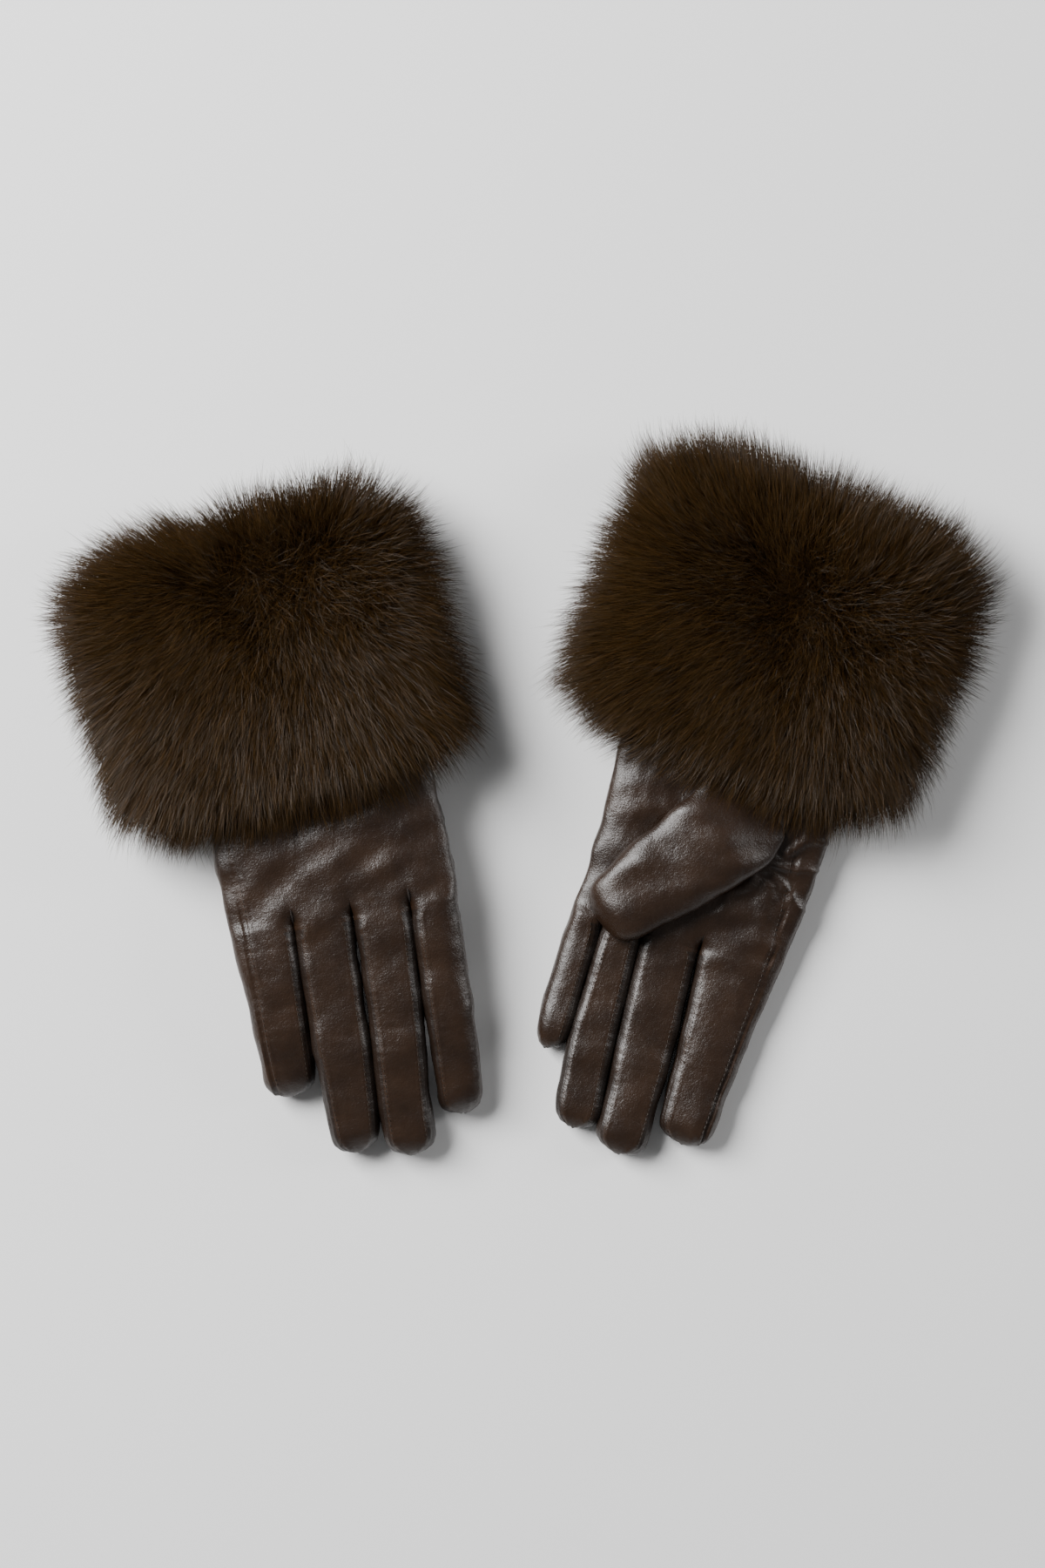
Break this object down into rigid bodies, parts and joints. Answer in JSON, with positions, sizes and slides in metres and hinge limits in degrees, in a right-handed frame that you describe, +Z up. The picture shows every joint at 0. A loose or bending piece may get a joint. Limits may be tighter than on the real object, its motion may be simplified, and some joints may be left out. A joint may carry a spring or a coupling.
{
  "type": "leather gloves with fur cuffs",
  "caption": "A pair of dark brown lined leather gloves with deep brown fur cuffs, laid flat, one back up and one palm up.",
  "frame": {"origin": "on the table under the middle of the pair, as both gloves lie flat", "axes": "+X across the pair from the right-hand glove to the left-hand glove, +Y from the fingertips towards the cuffs, +Z up from the table"},
  "size_m": [0.3356, 0.2572, 0.044],
  "materials": {
    "leather": "smooth satin nappa, fine grain",
    "lining": "matt knitted lining",
    "fur": "long soft pile",
    "facing": "satin facing inside the cuff"
  },
  "bodies": {
    "right_hand": {"right_palm_panel": "leather", "right_back_panel": "leather", "right_hand_lining": "lining", "right_fourchette_little_ring": "leather", "right_fourchette_ring_middle": "leather", "right_fourchette_middle_index": "leather"},
    "right_cuff": {"right_fur_cuff": "fur", "right_cuff_facing": "facing"},
    "right_little": {"right_little_proximal_sleeve": "leather", "right_little_proximal_lining": "lining"},
    "right_little_tip": {"right_little_distal_sleeve": "leather", "right_little_distal_lining": "lining"},
    "right_ring": {"right_ring_proximal_sleeve": "leather", "right_ring_proximal_lining": "lining"},
    "right_ring_tip": {"right_ring_distal_sleeve": "leather", "right_ring_distal_lining": "lining"},
    "right_middle": {"right_middle_proximal_sleeve": "leather", "right_middle_proximal_lining": "lining"},
    "right_middle_tip": {"right_middle_distal_sleeve": "leather", "right_middle_distal_lining": "lining"},
    "right_index": {"right_index_proximal_sleeve": "leather", "right_index_proximal_lining": "lining"},
    "right_index_tip": {"right_index_distal_sleeve": "leather", "right_index_distal_lining": "lining"},
    "right_thumb": {"right_thumb_proximal_sleeve": "leather", "right_thumb_proximal_lining": "lining"},
    "right_thumb_tip": {"right_thumb_distal_sleeve": "leather", "right_thumb_distal_lining": "lining"},
    "left_hand": {"left_palm_panel": "leather", "left_back_panel": "leather", "left_hand_lining": "lining", "left_fourchette_little_ring": "leather", "left_fourchette_ring_middle": "leather", "left_fourchette_middle_index": "leather"},
    "left_cuff": {"left_fur_cuff": "fur", "left_cuff_facing": "facing"},
    "left_little": {"left_little_proximal_sleeve": "leather", "left_little_proximal_lining": "lining"},
    "left_little_tip": {"left_little_distal_sleeve": "leather", "left_little_distal_lining": "lining"},
    "left_ring": {"left_ring_proximal_sleeve": "leather", "left_ring_proximal_lining": "lining"},
    "left_ring_tip": {"left_ring_distal_sleeve": "leather", "left_ring_distal_lining": "lining"},
    "left_middle": {"left_middle_proximal_sleeve": "leather", "left_middle_proximal_lining": "lining"},
    "left_middle_tip": {"left_middle_distal_sleeve": "leather", "left_middle_distal_lining": "lining"},
    "left_index": {"left_index_proximal_sleeve": "leather", "left_index_proximal_lining": "lining"},
    "left_index_tip": {"left_index_distal_sleeve": "leather", "left_index_distal_lining": "lining"},
    "left_thumb": {"left_thumb_proximal_sleeve": "leather", "left_thumb_proximal_lining": "lining"},
    "left_thumb_tip": {"left_thumb_distal_sleeve": "leather", "left_thumb_distal_lining": "lining"}
  },
  "joints": [
    {"name": "right_wrist", "type": "hinge", "parent": "right_hand", "child": "right_cuff", "pos_m": [-0.08101, 0.01273, 0.0185], "axis": [0.9636, 0.2672, 0], "range_deg": [-12, 12]},
    {"name": "right_little_knuckle", "type": "hinge", "parent": "right_hand", "child": "right_little", "pos_m": [-0.09388, -0.05351, 0.012], "axis": [0.9848, 0.1736, 0], "range_deg": [0, 75]},
    {"name": "right_little_bend", "type": "hinge", "parent": "right_little", "child": "right_little_tip", "pos_m": [-0.08916, -0.07969, 0.008], "axis": [0.9848, 0.1736, 0], "range_deg": [0, 90]},
    {"name": "right_ring_knuckle", "type": "hinge", "parent": "right_hand", "child": "right_ring", "pos_m": [-0.07242, -0.04973, 0.012], "axis": [0.9848, 0.1736, 0], "range_deg": [0, 75]},
    {"name": "right_ring_bend", "type": "hinge", "parent": "right_ring", "child": "right_ring_tip", "pos_m": [-0.06688, -0.0881, 0.008], "axis": [0.9848, 0.1736, 0], "range_deg": [0, 90]},
    {"name": "right_middle_knuckle", "type": "hinge", "parent": "right_hand", "child": "right_middle", "pos_m": [-0.05182, -0.0461, 0.012], "axis": [0.9848, 0.1736, 0], "range_deg": [0, 75]},
    {"name": "right_middle_bend", "type": "hinge", "parent": "right_middle", "child": "right_middle_tip", "pos_m": [-0.04658, -0.08655, 0.008], "axis": [0.9848, 0.1736, 0], "range_deg": [0, 90]},
    {"name": "right_index_knuckle", "type": "hinge", "parent": "right_hand", "child": "right_index", "pos_m": [-0.03257, -0.0427, 0.012], "axis": [0.9848, 0.1736, 0], "range_deg": [0, 75]},
    {"name": "right_index_bend", "type": "hinge", "parent": "right_index", "child": "right_index_tip", "pos_m": [-0.02831, -0.07749, 0.008], "axis": [0.9848, 0.1736, 0], "range_deg": [0, 90]},
    {"name": "right_thumb_swing", "type": "hinge", "parent": "right_hand", "child": "right_thumb", "pos_m": [-0.05844, -0.01274, 0.0047], "axis": [0, 0, 1], "range_deg": [0, 140]},
    {"name": "right_thumb_bend", "type": "hinge", "parent": "right_thumb", "child": "right_thumb_tip", "pos_m": [-0.0869, -0.02161, 0.0047], "axis": [0, 0, -1], "range_deg": [0, 55]},
    {"name": "left_wrist", "type": "hinge", "parent": "left_hand", "child": "left_cuff", "pos_m": [0.07582, 0.02042, 0.0125], "axis": [0.9304, -0.3665, 0], "range_deg": [-12, 12]},
    {"name": "left_little_knuckle", "type": "hinge", "parent": "left_hand", "child": "left_little", "pos_m": [0.01811, -0.04958, 0.0126], "axis": [-0.9588, 0.284, 0], "range_deg": [0, 75]},
    {"name": "left_little_bend", "type": "hinge", "parent": "left_little", "child": "left_little_tip", "pos_m": [0.01243, -0.06927, 0.0115], "axis": [-0.9588, 0.284, 0], "range_deg": [0, 90]},
    {"name": "left_ring_knuckle", "type": "hinge", "parent": "left_hand", "child": "left_ring", "pos_m": [0.03106, -0.05341, 0.0126], "axis": [-0.9588, 0.284, 0], "range_deg": [0, 75]},
    {"name": "left_ring_bend", "type": "hinge", "parent": "left_ring", "child": "left_ring_tip", "pos_m": [0.02234, -0.08525, 0.0115], "axis": [-0.9588, 0.284, 0], "range_deg": [0, 90]},
    {"name": "left_middle_knuckle", "type": "hinge", "parent": "left_hand", "child": "left_middle", "pos_m": [0.04847, -0.05857, 0.0126], "axis": [-0.9588, 0.284, 0], "range_deg": [0, 75]},
    {"name": "left_middle_bend", "type": "hinge", "parent": "left_middle", "child": "left_middle_tip", "pos_m": [0.04026, -0.0929, 0.0115], "axis": [-0.9588, 0.284, 0], "range_deg": [0, 90]},
    {"name": "left_index_knuckle", "type": "hinge", "parent": "left_hand", "child": "left_index", "pos_m": [0.07273, -0.06575, 0.0126], "axis": [-0.9588, 0.284, 0], "range_deg": [0, 75]},
    {"name": "left_index_bend", "type": "hinge", "parent": "left_index", "child": "left_index_tip", "pos_m": [0.06341, -0.09455, 0.0115], "axis": [-0.9588, 0.284, 0], "range_deg": [0, 90]},
    {"name": "left_thumb_swing", "type": "hinge", "parent": "left_hand", "child": "left_thumb", "pos_m": [0.07361, -0.00958, 0.02166], "axis": [-0.0207, -0.07, 0.9973], "range_deg": [0, 105]},
    {"name": "left_thumb_bend", "type": "hinge", "parent": "left_thumb", "child": "left_thumb_tip", "pos_m": [0.04064, -0.01625, 0.02051], "axis": [0.0207, 0.07, -0.9973], "range_deg": [0, 55]},
    {"name": "right_glove_lift", "type": "slide", "parent": "left_hand", "child": "right_hand", "axis": [0, 0, 1], "range_m": [0, 0.15]}
  ]
}
